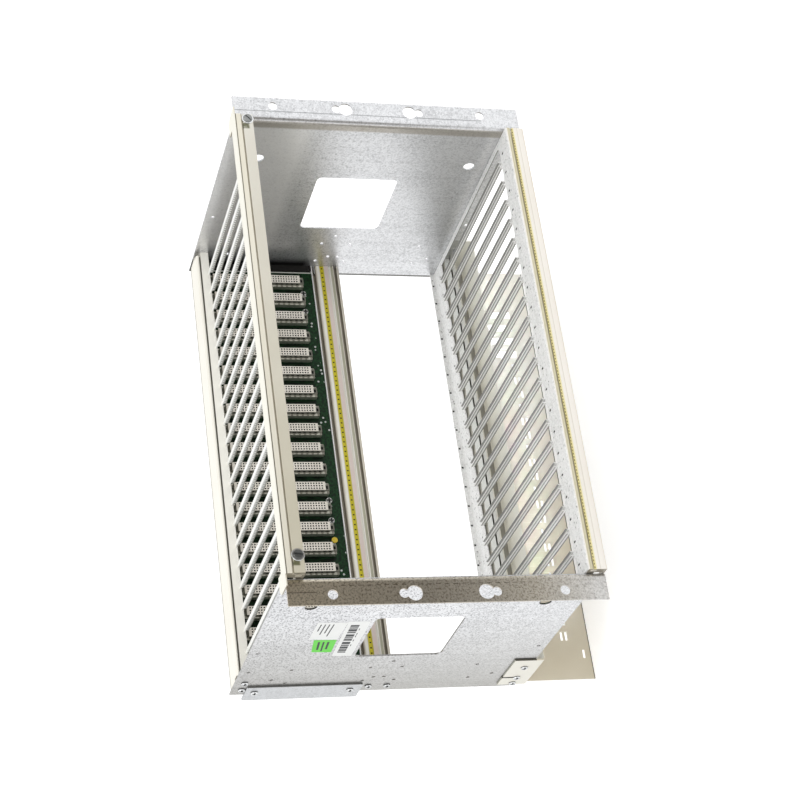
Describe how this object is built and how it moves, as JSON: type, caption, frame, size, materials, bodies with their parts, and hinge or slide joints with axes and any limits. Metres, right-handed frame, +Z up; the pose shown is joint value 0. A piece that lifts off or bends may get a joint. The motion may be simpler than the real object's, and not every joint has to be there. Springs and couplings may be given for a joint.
{
  "type": "equipment frame",
  "caption": "Open 19-inch equipment frame: side plates with mounting ears, drawn rails, card guides, backplane sockets, a cover strip and a rear cable support plate.",
  "frame": {"origin": "middle of the front plane of the mounting ears", "axes": "+X across the rack to the right, +Y back into the rack, +Z up"},
  "size_m": [0.4826, 0.2666, 0.3393],
  "materials": {
    "galvanised_plate": "zinc-coated sheet with a fine spangle",
    "galvanised_strip": "zinc-coated sheet",
    "guide_sheet": "zinc-coated pressed sheet",
    "top_guide": "bright zinc-coated channel",
    "cream_rail": "pale matt drawn rail",
    "plain_rail": "pale matt drawn rail",
    "yellow_strip": "yellow strip with dark marks",
    "board": "dark green circuit board",
    "connector": "pale moulded socket",
    "beige_paint": "satin beige paint",
    "support_paint": "satin sand-coloured paint",
    "zinc_screw": "bright zinc",
    "brass_stud": "plain brass"
  },
  "bodies": {
    "root": {"left_side_plate": "galvanised_plate", "right_side_plate": "galvanised_plate", "top_front_rail": "cream_rail", "bottom_front_rail": "cream_rail", "top_rear_rail": "cream_rail", "bottom_rear_rail": "cream_rail", "middle_rear_rail": "plain_rail", "position_strip": "yellow_strip", "backplane_board": "board", "bottom_guide_plate": "guide_sheet", "cover_strip": "beige_paint", "cover_strip_screws": "zinc_screw", "cable_support_plate": "support_paint", "left_rear_strip": "galvanised_strip", "right_rear_strip": "galvanised_strip", "side_screws": "zinc_screw", "board_studs": "zinc_screw", "brass_stud": "brass_stud", "connector_01": "connector", "connector_02": "connector", "connector_03": "connector", "connector_04": "connector", "connector_05": "connector", "connector_06": "connector", "connector_07": "connector", "connector_08": "connector", "connector_09": "connector", "connector_10": "connector", "connector_11": "connector", "connector_12": "connector", "connector_13": "connector", "connector_14": "connector", "connector_15": "connector", "connector_16": "connector", "connector_17": "connector", "connector_18": "connector", "connector_19": "connector", "connector_20": "connector", "connector_21": "connector", "top_guide_01": "top_guide", "top_guide_02": "top_guide", "top_guide_03": "top_guide", "top_guide_04": "top_guide", "top_guide_05": "top_guide", "top_guide_06": "top_guide", "top_guide_07": "top_guide", "top_guide_08": "top_guide", "top_guide_09": "top_guide", "top_guide_10": "top_guide", "top_guide_11": "top_guide", "top_guide_12": "top_guide", "top_guide_13": "top_guide", "top_guide_14": "top_guide", "top_guide_15": "top_guide", "top_guide_16": "top_guide", "top_guide_17": "top_guide", "top_guide_18": "top_guide", "top_guide_19": "top_guide", "top_guide_20": "top_guide", "top_guide_21": "top_guide"}
  },
  "joints": []
}
